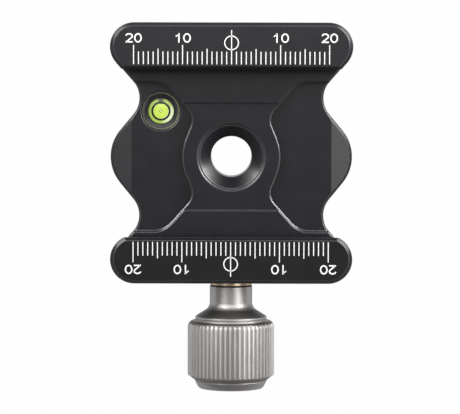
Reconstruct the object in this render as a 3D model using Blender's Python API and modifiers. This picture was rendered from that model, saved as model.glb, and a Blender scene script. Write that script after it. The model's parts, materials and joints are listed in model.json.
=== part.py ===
"""Dovetail quick release clamp with a screw knob, for a camera plate with a dovetail foot.

Metres, +Z up. The clamp lies on its base. X runs along the jaws, and +Y points from the
knob to the fixed jaw. The world origin is under the middle of the whole clamp. All plan
sizes below are measured from the axis of the centre hole.
"""

import math

import bmesh
import bpy
from mathutils import Matrix, Vector

# Plan of the body, measured from the centre hole
LOBE_WIDTH = 0.0501
LOBE_RADIUS = 0.0084
LOBE_SLOPE = math.radians(40)
NECK_DEPTH = 0.0061
NECK_RADIUS = 0.0052
NECK_TO_FIXED_LIP = 0.0058
NECK_TO_MOVABLE_LIP = 0.0041
NECK_TO_RAIL_EDGE = 0.0031
BODY_END_WIDTH = 0.0430

# Jaws and dovetail
JAW_LENGTH = 0.0495
JAW_DEPTH = 0.00945
JAW_END_RADIUS = 0.00495
JAW_HORN = 0.00267
JAW_RISE = 0.0055
JAW_LIFT = 0.0003
JAW_TOP_CHAMFER = 0.0007
LIP_CHAMFER = 0.0006
LIP_LAND = 0.0007
UNDERCUT = 0.0021
DOVETAIL_ANGLE = math.radians(45)

# Heights of the body
TABLE_GAP = 0.00007
SCREW_COVER = 0.0039
BASE_CHAMFER = 0.0005
EDGE_BREAK = 0.0003
END_BREAK = 0.0004
POCKET_DEPTH = 0.0016
RELIEF_DEPTH = 0.00025
RELIEF_WIDTH = 0.0221

# Pockets, and the island that they leave round the hole
ISLAND_RADIUS = 0.0100
ISLAND_SLOPE = math.radians(22)
POCKET_CORNER_X = 0.0139
POCKET_SLOPE = math.radians(48)
POCKET_CORNER_RADIUS = 0.0053
POCKET_WAIST_RADIUS = 0.0033
POCKET_EDGE = 0.0003
FACET_X = 0.0207
FACET_SLOPE = math.radians(18)

# Centre hole
HOLE_RADIUS = 0.00425
SINK_RADIUS = 0.0069
SINK_RIM = 0.00015
SINK_WALL = 0.0005
SINK_LEDGE = 0.0004
HOLE_EDGE = 0.0004

# Round bubble level
LEVEL_X = -0.0146
LEVEL_Y = 0.0094
LEVEL_RADIUS = 0.0039
LEVEL_HEIGHT = 0.0044
LEVEL_SINK = 0.0002
LEVEL_WALL = 0.00115
LEVEL_CROWN = 0.0010
LEVEL_PLUG_HEIGHT = 0.0006
LEVEL_EDGE = 0.0001

# Clamping screw, guide pins, springs and travel
OPEN_TRAVEL = 0.0060
CLOSE_TRAVEL = 0.0012
STOP_GAP = 0.0004
SCREW_RADIUS = 0.0029
THREAD_DEPTH = 0.0087
SCREW_IN_KNOB = 0.0100
SCREW_TIP_CHAMFER = 0.0004
PIN_TO_JAW_END = 0.00975
PIN_RADIUS = 0.0020
PIN_IN_JAW = 0.0046
PIN_CHAMFER = 0.0003
SPRING_COIL_RADIUS = 0.00285
SPRING_WIRE_RADIUS = 0.00035
SPRING_TURNS = 5
SPRING_SEAT_DEPTH = 0.0070
SPRING_SEAT_COVER = 0.00139
STOP_SCREW_RADIUS = 0.0015
STOP_TIP_RADIUS = 0.0010
STOP_TIP_LENGTH = 0.0012
STOP_WALL = 0.0009
STOP_SUNK = 0.0003
STOP_HEX_DEPTH = 0.0014
STOP_HEX_RADIUS = 0.00085
PIN_FLAT_DEPTH = 0.0006

# Washers and knob
WASHER_RADIUS = 0.0043
BRASS_THICKNESS = 0.00082
SLIP_THICKNESS = 0.00015
KNOB_RADIUS = 0.00902
KNOB_NECK_RADIUS = 0.00442
KNOB_NECK_LENGTH = 0.00345
KNOB_NECK_EDGE = 0.00008
KNOB_FLARE_RADIUS = 0.0019
KNOB_FLARE_ANGLE = math.radians(58)
FLANGE_RADIUS = 0.00743
FLANGE_THICKNESS = 0.00089
FLANGE_CHAMFER = 0.00015
BARREL_LENGTH = 0.01244
BARREL_SHOULDER = 0.0014
BARREL_CHAMFER = 0.0015
BARREL_CHAMFER_LENGTH = 0.00113
RIDGES = 56
RIDGE_DEPTH = 0.00035
COLLAR_RADIUS = 0.0075
COLLAR_BAND = 0.0002
COLLAR_LENGTH = 0.001675
COLLAR_END_RADIUS = 0.0069
COLLAR_END_CHAMFER = 0.0003
COLLAR_GROOVE = 0.0001
DISH_RADIUS = 0.0047
DISH_DEPTH = 0.0004

# Clearances and fineness
PRESS_GAP = 0.00005
WASHER_GAP = 0.00005
SLIDE_GAP = 0.0001
SEAT_GAP = 0.0001
LOOSE_GAP = 0.0003
JOINED = 0.0003
BEYOND = 0.0010
SAME_POINT = 0.000001
FILLET_STEP = math.radians(7.5)
FINE_STEPS = 56
ROUND_STEPS = 32
COIL_STEPS = 12

# Places worked out from the sizes above
neck_y = (NECK_DEPTH + (LOBE_RADIUS + NECK_RADIUS) * (1 / math.cos(LOBE_SLOPE) - 1)) / math.tan(LOBE_SLOPE)
fixed_lip_y = neck_y + NECK_TO_FIXED_LIP
movable_lip_y = -neck_y - NECK_TO_MOVABLE_LIP
rail_y = neck_y + NECK_TO_RAIL_EDGE
back_y = fixed_lip_y + JAW_DEPTH
front_y = movable_lip_y - JAW_DEPTH
jaw_wall_y = movable_lip_y - UNDERCUT
body_end_y = jaw_wall_y + CLOSE_TRAVEL + STOP_GAP
screw_z = KNOB_RADIUS + TABLE_GAP
floor_z = screw_z + SCREW_COVER
top_z = floor_z + JAW_RISE
pocket_z = floor_z - POCKET_DEPTH
relief_z = floor_z - RELIEF_DEPTH
level_top_z = pocket_z - LEVEL_SINK
spring_seat_y = body_end_y + SPRING_SEAT_DEPTH
spring_seat_radius = SPRING_COIL_RADIUS + SPRING_WIRE_RADIUS + LOOSE_GAP
pin_z = pocket_z - SPRING_SEAT_COVER - spring_seat_radius
stop_y = spring_seat_y + STOP_WALL + STOP_SCREW_RADIUS
pin_x = JAW_LENGTH / 2 - PIN_TO_JAW_END
stop_tip_z = pin_z - PIN_RADIUS + PIN_FLAT_DEPTH - SEAT_GAP
pin_tip_y = stop_y + STOP_TIP_RADIUS + OPEN_TRAVEL + SEAT_GAP + 2 * PIN_CHAMFER + LOOSE_GAP
pin_bore_end_y = pin_tip_y + CLOSE_TRAVEL + STOP_GAP
thread_end_y = body_end_y + THREAD_DEPTH
brass_z = WASHER_GAP
slip_z = brass_z + BRASS_THICKNESS + WASHER_GAP
knob_z = slip_z + SLIP_THICKNESS + WASHER_GAP
flare_run = KNOB_FLARE_RADIUS * math.sin(KNOB_FLARE_ANGLE)
flare_rise = KNOB_FLARE_RADIUS * (1 - math.cos(KNOB_FLARE_ANGLE))
cone_rise = FLANGE_RADIUS - FLANGE_CHAMFER - KNOB_NECK_RADIUS - flare_rise
flange_z = KNOB_NECK_LENGTH + flare_run + cone_rise / math.tan(KNOB_FLARE_ANGLE)
barrel_z = flange_z + FLANGE_THICKNESS
collar_z = barrel_z + BARREL_LENGTH
knob_length = collar_z + COLLAR_LENGTH
hole_y = (knob_z + knob_length - front_y - back_y) / 2

parts = bpy.data.collections.new("Dovetail quick release clamp")
cutters = bpy.data.collections.new("Cutters")


def clear_scene():
    for old in list(bpy.data.objects):
        bpy.data.objects.remove(old, do_unlink=True)
    for collection in (parts, cutters):
        bpy.context.scene.collection.children.link(collection)


def add_object(name, data, collection, parent):
    thing = bpy.data.objects.new(name, data)
    collection.objects.link(thing)
    thing.parent = parent
    return thing


def add_empty(name, location, rotation, parent):
    empty = add_object(name, None, parts, parent)
    empty.location = location
    empty.rotation_euler = rotation
    return empty


def finish(thing, colour, metallic, roughness):
    """Gives a piece its own Principled material."""
    material = bpy.data.materials.new(thing.name)
    material.use_nodes = True
    shader = material.node_tree.nodes["Principled BSDF"]
    shader.inputs["Base Color"].default_value = (*colour, 1)
    shader.inputs["Metallic"].default_value = metallic
    shader.inputs["Roughness"].default_value = roughness
    thing.data.materials.append(material)


def mesh_object(name, bm, collection, parent):
    bmesh.ops.recalc_face_normals(bm, faces=bm.faces[:])
    mesh = bpy.data.meshes.new(name)
    bm.to_mesh(mesh)
    bm.free()
    mesh.shade_smooth()
    mesh.set_sharp_from_angle(angle=math.radians(30))
    return add_object(name, mesh, collection, parent)


def as_cutter(thing):
    thing.hide_render = True
    thing.display_type = "WIRE"
    return thing


def boolean(target, tool, operation):
    modifier = target.modifiers.new(tool.name, "BOOLEAN")
    modifier.operation = operation
    modifier.object = as_cutter(tool)


def moved_corners(corners, inset):
    """Corners (x, y, radius) of a closed anticlockwise outline, with every side moved inwards."""
    moved = []
    for index, (x, y, radius) in enumerate(corners):
        before = Vector(corners[index - 1][:2])
        after = Vector(corners[(index + 1) % len(corners)][:2])
        here = Vector((x, y))
        into = (here - before).normalized()
        out = (after - here).normalized()
        normals = Vector((-into.y, into.x)) + Vector((-out.y, out.x))
        shift = normals * inset / (1 + into.dot(out))
        turn = into.x * out.y - into.y * out.x
        if radius:
            radius = max(radius - math.copysign(inset, turn), radius / 20)
        moved.append((x + shift.x, y + shift.y, radius))
    return moved


def rounded(corners, inset=0.0):
    """Points of a closed outline: each corner (x, y, radius) is rounded, as far as its sides allow."""
    corners = moved_corners(corners, inset)
    places = [Vector(corner[:2]) for corner in corners]
    count = len(corners)
    sides = [places[(i + 1) % count] - places[i] for i in range(count)]
    turns = []
    reaches = []
    for i in range(count):
        into, out = sides[i - 1], sides[i]
        turns.append(math.atan2(into.x * out.y - into.y * out.x, into.dot(out)))
        reaches.append(corners[i][2] * math.tan(abs(turns[i]) / 2))
    points = []
    for i in range(count):
        room = min(
            1.0,
            sides[i - 1].length / max(reaches[i - 1] + reaches[i], 1e-9),
            sides[i].length / max(reaches[i] + reaches[(i + 1) % count], 1e-9),
        )
        if not corners[i][2]:
            points.append(places[i])
            continue
        radius = corners[i][2] * room
        into = sides[i - 1].normalized()
        side = math.copysign(radius, turns[i])
        start = places[i] - into * reaches[i] * room
        centre = start + Vector((-into.y, into.x)) * side
        steps = max(2, round(abs(turns[i]) / FILLET_STEP))
        for step in range(steps + 1):
            spoke = start - centre
            spoke.rotate(Matrix.Rotation(turns[i] * step / steps, 2))
            points.append(centre + spoke)
    return points


def both_sides(right):
    """A closed outline from the corners of its right side, listed upwards."""
    return right + [(-x, y, radius) for x, y, radius in reversed(right)]


def loft(name, rings, collection, parent):
    """A closed solid through rings of points with equal counts, capped at both ends."""
    bm = bmesh.new()
    loops = [[bm.verts.new(point) for point in ring] for ring in rings]
    for low, high in zip(loops, loops[1:]):
        for i in range(len(low)):
            j = (i + 1) % len(low)
            bm.faces.new((low[i], low[j], high[j], high[i]))
    bm.faces.new(reversed(loops[0]))
    bm.faces.new(loops[-1])
    bmesh.ops.remove_doubles(bm, verts=bm.verts, dist=SAME_POINT)
    return mesh_object(name, bm, collection, parent)


def plate(name, corners, levels, collection, parent):
    """A solid with a rounded outline, from levels (height, inset) listed upwards."""
    rings = [[(*point, z) for point in rounded(corners, inset)] for z, inset in levels]
    return loft(name, rings, collection, parent)


def bar_along_x(name, profile, half_length, parent):
    """A straight cutter along X with a section of (y, z) points."""
    rings = [[(x, y, z) for y, z in profile] for x in (-half_length, half_length)]
    return loft(name, rings, cutters, parent)


def turned(name, profile, steps, collection, parent):
    """A turned solid about local Z, from (radius, z) points; a ring's section closes on itself."""
    bm = bmesh.new()
    verts = [bm.verts.new((radius, 0, z)) for radius, z in profile]
    for low, high in zip(verts, verts[1:]):
        bm.edges.new((low, high))
    if profile[0][0] > 0:
        bm.edges.new((verts[-1], verts[0]))
    mesh = bpy.data.meshes.new(name)
    bm.to_mesh(mesh)
    bm.free()
    thing = add_object(name, mesh, collection, parent)
    screw = thing.modifiers.new("Turn", "SCREW")
    screw.steps = steps
    screw.render_steps = steps
    screw.use_merge_vertices = True
    screw.merge_threshold = SAME_POINT
    screw.use_smooth_shade = True
    return thing


def ring_profile(outer, inner, low, high):
    """A washer's section, outer side first."""
    return [(outer, high), (outer, low), (inner, low), (inner, high)]


def bore_along_y(name, x, z, radius, start_y, end_y, parent):
    """A round cutter along Y."""
    bm = bmesh.new()
    turn = Matrix.Rotation(math.radians(90), 4, "X")
    place = Matrix.Translation((x, (start_y + end_y) / 2, z)) @ turn
    bmesh.ops.create_cone(
        bm,
        cap_ends=True,
        segments=ROUND_STEPS,
        radius1=radius,
        radius2=radius,
        depth=abs(end_y - start_y),
        matrix=place,
    )
    return mesh_object(name, bm, cutters, parent)


def body_corners():
    lobe_x = LOBE_WIDTH / 2 + LOBE_RADIUS * (1 / math.cos(LOBE_SLOPE) - 1)
    neck_x = lobe_x - neck_y * math.tan(LOBE_SLOPE)
    return both_sides(
        [
            (BODY_END_WIDTH / 2, body_end_y, 0),
            (neck_x, -neck_y, NECK_RADIUS),
            (lobe_x, 0, LOBE_RADIUS),
            (neck_x, neck_y, NECK_RADIUS),
            (JAW_LENGTH / 2, fixed_lip_y + JAW_HORN, JAW_END_RADIUS),
            (JAW_LENGTH / 2, back_y, JAW_END_RADIUS),
        ]
    )


def jaw_face(lip_y, away, low_z):
    """Section (y, z) of one jaw's dovetail face from low_z to its top; away is the side of its metal."""
    slope_top = top_z - LIP_CHAMFER - LIP_LAND
    slope_low = slope_top - UNDERCUT / math.tan(DOVETAIL_ANGLE)
    return [
        (lip_y + away * UNDERCUT, low_z),
        (lip_y + away * UNDERCUT, slope_low),
        (lip_y, slope_top),
        (lip_y, top_z - LIP_CHAMFER),
        (lip_y + away * (LIP_CHAMFER + BEYOND), top_z + BEYOND),
    ]


def cut_channel(body, frame):
    """The milled floor and the undercut of the fixed jaw."""
    open_y = body_end_y - BEYOND
    face = jaw_face(fixed_lip_y, 1, floor_z)
    profile = face + [
        (open_y, top_z + BEYOND),
        (open_y, floor_z - END_BREAK - BEYOND),
        (body_end_y + END_BREAK, floor_z),
    ]
    boolean(body, bar_along_x("channel_cut", profile, JAW_LENGTH, frame), "DIFFERENCE")


def pocket_corners(side):
    """Outline of one pocket, which runs out past the edge of the body."""
    island_x = ISLAND_RADIUS / math.cos(ISLAND_SLOPE)
    rise = math.tan(POCKET_SLOPE)
    waist_y = (island_x + rail_y / rise - POCKET_CORNER_X) / (1 / rise + math.tan(ISLAND_SLOPE))
    waist_x = island_x - waist_y * math.tan(ISLAND_SLOPE)
    corners = [
        (POCKET_CORNER_X, rail_y, POCKET_CORNER_RADIUS),
        (waist_x, waist_y, POCKET_WAIST_RADIUS),
        (island_x, 0, ISLAND_RADIUS),
        (waist_x, -waist_y, POCKET_WAIST_RADIUS),
        (POCKET_CORNER_X, -rail_y, POCKET_CORNER_RADIUS),
        (LOBE_WIDTH, -rail_y, 0),
        (LOBE_WIDTH, rail_y, 0),
    ]
    if side > 0:
        return corners
    return [(-x, y, radius) for x, y, radius in reversed(corners)]


def cut_pocket(body, side, name, frame):
    """One sunk pocket with a chamfered rim, and the sloping facet on its lobe."""
    levels = [(pocket_z, 0), (floor_z - POCKET_EDGE, 0), (floor_z + BEYOND, -POCKET_EDGE - BEYOND)]
    pocket = plate(f"pocket_{name}_cut", pocket_corners(side), levels, cutters, frame)
    boolean(body, pocket, "DIFFERENCE")
    start_x, end_x = FACET_X - BEYOND, LOBE_WIDTH / 2 + BEYOND
    section = [
        (start_x, facet_z(start_x)),
        (end_x, facet_z(end_x)),
        (end_x, floor_z + BEYOND),
        (start_x, floor_z + BEYOND),
    ]
    rings = [[(side * x, y, z) for x, z in section] for y in (-neck_y, neck_y)]
    boolean(body, loft(f"facet_{name}_cut", rings, cutters, frame), "DIFFERENCE")


def facet_z(x):
    """Height of the plane of the lobes' sloping facets."""
    return pocket_z - (abs(x) - FACET_X) * math.tan(FACET_SLOPE)


def side_path(low_y, high_y):
    """The right edge of the body in plan: both its ends, and its sides' middles, listed upwards."""
    edge = [point for point in rounded(body_corners()) if point.x > 0]
    path = [point for point in edge if low_y < point.y < high_y]
    for low, high in zip(edge, edge[1:]):
        if low.y < low_y < high.y:
            path.insert(0, low.lerp(high, (low_y - low.y) / (high.y - low.y)))
        if low.y < high_y < high.y:
            path.append(low.lerp(high, (high_y - low.y) / (high.y - low.y)))
    middles = [low.lerp(high, 0.5) for low, high in zip(path, path[1:])]
    return [path[0], *middles, path[-1]]


def edge_cutter(name, side, path, heights, frame):
    """A bevelling cutter along a path on the body's edge, with the height of the top at each point."""
    rings = []
    for index, (point, z) in enumerate(zip(path, heights)):
        before = path[max(index - 1, 0)]
        after = path[min(index + 1, len(path) - 1)]
        along = (after - before).normalized()
        out = Vector((along.y, -along.x))
        section = (
            (LOOSE_GAP, z - EDGE_BREAK - LOOSE_GAP),
            (LOOSE_GAP, z + LOOSE_GAP),
            (-EDGE_BREAK - LOOSE_GAP, z + LOOSE_GAP),
        )
        places = [(point + out * reach, height) for reach, height in section]
        rings.append([(side * place.x, place.y, height) for place, height in places])
    return loft(name, rings, cutters, frame)


def cut_edges(body, side, name, frame):
    """Breaks the edges that the rails, the pocket and its facet have along the outline."""
    end = rail_y - EDGE_BREAK / 2
    path = side_path(-end, end)
    heights = [min(pocket_z, facet_z(point.x)) for point in path]
    boolean(body, edge_cutter(f"pocket_edge_{name}_cut", side, path, heights, frame), "DIFFERENCE")
    path = side_path(body_end_y, fixed_lip_y)
    path.insert(0, path[0] + (path[0] - path[1]).normalized() * BEYOND)
    heights = [floor_z] * len(path)
    boolean(body, edge_cutter(f"rail_edge_{name}_cut", side, path, heights, frame), "DIFFERENCE")


def cut_relief(body, frame):
    """Lowers the middle of the island, so that a plate lies on the two rails beside the jaws."""
    half = RELIEF_WIDTH / 2
    high = floor_z + BEYOND
    profile = [(-half, relief_z), (half, relief_z), (half, high), (-half, high)]
    boolean(body, bar_along_x("relief_cut", profile, POCKET_CORNER_X, frame), "DIFFERENCE")


def cut_centre_hole(body, frame):
    """Through hole, with a conical seat for a screw head under a shallow rim."""
    cone_radius = SINK_RADIUS - SINK_LEDGE
    ledge_z = relief_z - SINK_RIM - SINK_WALL
    profile = [
        (0, relief_z + BEYOND),
        (SINK_RADIUS + SINK_RIM + BEYOND, relief_z + BEYOND),
        (SINK_RADIUS, relief_z - SINK_RIM),
        (SINK_RADIUS, ledge_z),
        (cone_radius, ledge_z),
        (HOLE_RADIUS, ledge_z - cone_radius + HOLE_RADIUS),
        (HOLE_RADIUS, HOLE_EDGE),
        (HOLE_RADIUS + HOLE_EDGE + BEYOND, -BEYOND),
        (0, -BEYOND),
    ]
    boolean(body, turned("centre_hole_cut", profile, FINE_STEPS, cutters, frame), "DIFFERENCE")


def cut_level_seat(body, frame):
    radius = LEVEL_RADIUS + SLIDE_GAP
    low = level_top_z - LEVEL_HEIGHT - SEAT_GAP
    profile = [
        (0, pocket_z + BEYOND),
        (radius + LEVEL_EDGE + BEYOND, pocket_z + BEYOND),
        (radius, pocket_z - LEVEL_EDGE),
        (radius, low),
        (0, low),
    ]
    seat = turned("level_seat_cut", profile, FINE_STEPS, cutters, frame)
    seat.location = (LEVEL_X, LEVEL_Y, 0)
    boolean(body, seat, "DIFFERENCE")


def cut_mechanism(body, frame):
    """Tapped hole for the clamping screw, guide bores, spring seats and the stop screw's hole."""
    start = body_end_y - BEYOND
    screw_radius = SCREW_RADIUS + SLIDE_GAP
    tapped = bore_along_y("tapped_cut", 0, screw_z, screw_radius, start, thread_end_y, frame)
    boolean(body, tapped, "DIFFERENCE")
    for side, name in ((-1, "left"), (1, "right")):
        x = side * pin_x
        radius = PIN_RADIUS + SLIDE_GAP
        bore = bore_along_y(f"guide_{name}_cut", x, pin_z, radius, start, pin_bore_end_y, frame)
        boolean(body, bore, "DIFFERENCE")
        seat = bore_along_y(
            f"spring_{name}_cut", x, pin_z, spring_seat_radius, start, spring_seat_y, frame
        )
        boolean(body, seat, "DIFFERENCE")
    radius = STOP_SCREW_RADIUS + SLIDE_GAP
    profile = [(0, pin_z), (radius, pin_z), (radius, -BEYOND), (0, -BEYOND)]
    hole = turned("stop_cut", profile, ROUND_STEPS, cutters, frame)
    hole.location = (-pin_x, stop_y, 0)
    boolean(body, hole, "DIFFERENCE")


def make_body(frame):
    levels = [
        (0, BASE_CHAMFER),
        (BASE_CHAMFER, 0),
        (top_z - JAW_TOP_CHAMFER, 0),
        (top_z, JAW_TOP_CHAMFER),
    ]
    body = plate("clamp_body", body_corners(), levels, parts, frame)
    cut_channel(body, frame)
    cut_relief(body, frame)
    for side, name in ((-1, "left"), (1, "right")):
        cut_pocket(body, side, name, frame)
        cut_edges(body, side, name, frame)
    cut_centre_hole(body, frame)
    cut_level_seat(body, frame)
    cut_mechanism(body, frame)
    finish(body, (0.022, 0.022, 0.024), 0.6, 0.42)


def make_movable_jaw(carriage):
    low = JAW_LIFT
    levels = [
        (low, BASE_CHAMFER),
        (low + BASE_CHAMFER, 0),
        (top_z - JAW_TOP_CHAMFER, 0),
        (top_z, JAW_TOP_CHAMFER),
    ]
    inner_y = front_y + 2 * JAW_END_RADIUS
    corners = both_sides(
        [(JAW_LENGTH / 2, front_y, JAW_END_RADIUS), (JAW_LENGTH / 2, inner_y, JAW_END_RADIUS)]
    )
    jaw = plate("movable_jaw", corners, levels, parts, carriage)
    open_y = max(inner_y, movable_lip_y) + BEYOND
    face = jaw_face(movable_lip_y, -1, low - BEYOND)
    profile = face + [(open_y, top_z + BEYOND), (open_y, low - BEYOND)]
    boolean(jaw, bar_along_x("jaw_face_cut", profile, JAW_LENGTH, carriage), "DIFFERENCE")
    start, end = jaw_wall_y + BEYOND, front_y - BEYOND
    hole = bore_along_y("jaw_screw_cut", 0, screw_z, SCREW_RADIUS + LOOSE_GAP, start, end, carriage)
    boolean(jaw, hole, "DIFFERENCE")
    end = jaw_wall_y - PIN_IN_JAW - SEAT_GAP
    radius = PIN_RADIUS + PRESS_GAP
    for side, name in ((-1, "left"), (1, "right")):
        bore = bore_along_y(f"jaw_pin_{name}_cut", side * pin_x, pin_z, radius, start, end, carriage)
        boolean(jaw, bore, "DIFFERENCE")
    finish(jaw, (0.016, 0.016, 0.017), 0.6, 0.42)


def make_guide_pin(side, name, carriage):
    """A dowel along Y; local Z runs from its end in the jaw to its tip in the body."""
    low = jaw_wall_y - PIN_IN_JAW
    length = pin_tip_y - low
    profile = [
        (0, length),
        (PIN_RADIUS - PIN_CHAMFER, length),
        (PIN_RADIUS, length - PIN_CHAMFER),
        (PIN_RADIUS, PIN_CHAMFER),
        (PIN_RADIUS - PIN_CHAMFER, 0),
        (0, 0),
    ]
    pin = turned(f"guide_pin_{name}", profile, ROUND_STEPS, parts, carriage)
    pin.location = (side * pin_x, low, pin_z)
    pin.rotation_euler = (math.radians(-90), 0, 0)
    if side < 0:
        cut_pin_flat(pin, carriage)
    finish(pin, (0.55, 0.55, 0.56), 1.0, 0.25)


def cut_pin_flat(pin, carriage):
    """The flat that the stop screw's tip runs in; its ends are the limits of the jaw's travel."""
    reach = STOP_TIP_RADIUS + SEAT_GAP
    start, end = stop_y - CLOSE_TRAVEL - reach, stop_y + OPEN_TRAVEL + reach
    high = pin_z - PIN_RADIUS + PIN_FLAT_DEPTH
    low = pin_z - PIN_RADIUS - BEYOND
    rings = [
        [(-pin_x - PIN_RADIUS, y, z) for y, z in ((start, low), (end, low), (end, high), (start, high))],
        [(-pin_x + PIN_RADIUS, y, z) for y, z in ((start, low), (end, low), (end, high), (start, high))],
    ]
    boolean(pin, loft("pin_flat_cut", rings, cutters, carriage), "DIFFERENCE")


def make_spring(side, name, frame):
    """A compression spring round a guide pin, with a closed turn at each end."""
    start = spring_seat_y - SPRING_WIRE_RADIUS - SEAT_GAP
    end = jaw_wall_y + SPRING_WIRE_RADIUS + SEAT_GAP
    count = (SPRING_TURNS + 2) * COIL_STEPS
    rest = 2.2 * SPRING_WIRE_RADIUS / abs(end - start)
    curve = bpy.data.curves.new(f"jaw_spring_{name}", "CURVE")
    curve.dimensions = "3D"
    curve.bevel_depth = SPRING_WIRE_RADIUS
    curve.bevel_resolution = 2
    curve.use_fill_caps = True
    spline = curve.splines.new("POLY")
    spline.points.add(count)
    for index, point in enumerate(spline.points):
        turn = index / COIL_STEPS
        along = (turn - 1) / SPRING_TURNS
        share = rest * turn if turn < 1 else rest + (1 - 2 * rest) * along
        if turn > SPRING_TURNS + 1:
            share = 1 - rest * (SPRING_TURNS + 2 - turn)
        angle = 2 * math.pi * turn
        x = SPRING_COIL_RADIUS * math.cos(angle)
        z = SPRING_COIL_RADIUS * math.sin(angle)
        point.co = (x, start + (end - start) * share, z, 1)
    spring = add_object(f"jaw_spring_{name}", curve, parts, frame)
    spring.location = (side * pin_x, 0, pin_z)
    finish(spring, (0.5, 0.5, 0.5), 1.0, 0.3)


def make_stop_screw(frame):
    """A grub screw with a dog point, driven from below into the left guide pin's flat."""
    low = STOP_SUNK
    shoulder = stop_tip_z - STOP_TIP_LENGTH
    profile = [
        (0, stop_tip_z),
        (STOP_TIP_RADIUS, stop_tip_z),
        (STOP_TIP_RADIUS, shoulder),
        (STOP_SCREW_RADIUS, shoulder),
        (STOP_SCREW_RADIUS, low),
        (0, low),
    ]
    screw = turned("stop_screw", profile, ROUND_STEPS, parts, frame)
    screw.location = (-pin_x, stop_y, 0)
    bm = bmesh.new()
    place = Matrix.Translation((-pin_x, stop_y, low + (STOP_HEX_DEPTH - BEYOND) / 2))
    bmesh.ops.create_cone(
        bm,
        cap_ends=True,
        segments=6,
        radius1=STOP_HEX_RADIUS,
        radius2=STOP_HEX_RADIUS,
        depth=STOP_HEX_DEPTH + BEYOND,
        matrix=place,
    )
    boolean(screw, mesh_object("stop_hex_cut", bm, cutters, frame), "DIFFERENCE")
    finish(screw, (0.03, 0.03, 0.03), 0.9, 0.4)


def make_level(frame):
    """Bubble level: a clear cup, open below, its filling, and the plug that closes it."""
    inner = LEVEL_RADIUS - LEVEL_WALL
    low = level_top_z - LEVEL_HEIGHT
    ceiling = level_top_z - LEVEL_CROWN
    cup = [
        (0, level_top_z),
        (LEVEL_RADIUS, level_top_z),
        (LEVEL_RADIUS, low),
        (inner, low),
        (inner, ceiling),
        (0, ceiling),
    ]
    reach = inner - SEAT_GAP
    plug_top = low + LEVEL_PLUG_HEIGHT
    filling = [
        (0, ceiling - SEAT_GAP),
        (reach, ceiling - SEAT_GAP),
        (reach, plug_top + SEAT_GAP),
        (0, plug_top + SEAT_GAP),
    ]
    plug = [(0, plug_top), (reach, plug_top), (reach, low), (0, low)]
    looks = (
        ("level_vial", cup, (0.85, 0.9, 0.85), 0.08),
        ("level_fluid", filling, (0.55, 0.85, 0.08), 0.2),
        ("level_plug", plug, (0.8, 0.85, 0.75), 0.5),
    )
    for name, profile, colour, roughness in looks:
        piece = turned(name, profile, FINE_STEPS if name == "level_vial" else ROUND_STEPS, parts, frame)
        piece.location = (LEVEL_X, LEVEL_Y, 0)
        finish(piece, colour, 0.0, roughness)


def make_screw_and_washers(spindle):
    """The stud and the two washers; local Z runs outwards from the jaw's face to the knob."""
    washer_hole = SCREW_RADIUS + SLIDE_GAP
    brass = ring_profile(WASHER_RADIUS, washer_hole, brass_z, brass_z + BRASS_THICKNESS)
    washer = turned("brass_washer", brass, FINE_STEPS, parts, spindle)
    finish(washer, (0.62, 0.42, 0.2), 1.0, 0.35)
    slip = ring_profile(WASHER_RADIUS, washer_hole, slip_z, slip_z + SLIP_THICKNESS)
    washer = turned("slip_washer", slip, ROUND_STEPS, parts, spindle)
    finish(washer, (0.01, 0.01, 0.01), 0.0, 0.5)
    tip = front_y - thread_end_y + CLOSE_TRAVEL + STOP_GAP
    head = knob_z + SCREW_IN_KNOB
    profile = [
        (0, head),
        (SCREW_RADIUS, head),
        (SCREW_RADIUS, tip + SCREW_TIP_CHAMFER),
        (SCREW_RADIUS - SCREW_TIP_CHAMFER, tip),
        (0, tip),
    ]
    screw = turned("clamping_screw", profile, ROUND_STEPS, parts, spindle)
    finish(screw, (0.5, 0.5, 0.5), 1.0, 0.3)


def barrel_levels():
    """(z, radius) along the barrel: a round shoulder, a straight run and a chamfer."""
    levels = []
    for step in range(5):
        angle = math.radians(22.5 * step)
        radius = KNOB_RADIUS - BARREL_SHOULDER * (1 - math.sin(angle))
        levels.append((barrel_z + BARREL_SHOULDER * (1 - math.cos(angle)), radius))
    chamfer_z = collar_z - BARREL_CHAMFER_LENGTH
    for drop in (0, RIDGE_DEPTH, BARREL_CHAMFER):
        levels.append((chamfer_z + BARREL_CHAMFER_LENGTH * drop / BARREL_CHAMFER, KNOB_RADIUS - drop))
    return levels


def make_barrel(spindle):
    """The straight-knurled grip: ridges run along it and fade out on its shoulder and chamfer."""
    pitch = 2 * math.pi / RIDGES
    spokes = []
    for ridge in range(RIDGES):
        for share, depth in ((0, 0), (0.34, 0), (0.55, RIDGE_DEPTH), (0.79, RIDGE_DEPTH)):
            spokes.append(((ridge + share) * pitch, KNOB_RADIUS - depth))
    rings = []
    for z, limit in barrel_levels():
        ring = []
        for angle, reach in spokes:
            radius = min(reach, limit)
            ring.append((radius * math.cos(angle), radius * math.sin(angle), z))
        rings.append(ring)
    return loft("knob", rings, parts, spindle)


def neck_profile():
    """Outer side of the knob's neck and flange, from inside the barrel to the slip washer."""
    rim = FLANGE_RADIUS - FLANGE_CHAMFER
    profile = [
        (0, barrel_z + JOINED),
        (rim, barrel_z + JOINED),
        (rim, barrel_z),
        (FLANGE_RADIUS, barrel_z - FLANGE_CHAMFER),
        (FLANGE_RADIUS, flange_z + FLANGE_CHAMFER),
        (rim, flange_z),
    ]
    for step in range(6):
        angle = KNOB_FLARE_ANGLE * (1 - step / 5)
        radius = KNOB_NECK_RADIUS + KNOB_FLARE_RADIUS * (1 - math.cos(angle))
        profile.append((radius, KNOB_NECK_LENGTH + KNOB_FLARE_RADIUS * math.sin(angle)))
    profile += [
        (KNOB_NECK_RADIUS, KNOB_NECK_EDGE),
        (KNOB_NECK_RADIUS - KNOB_NECK_EDGE, 0),
        (0, 0),
    ]
    return profile


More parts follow.
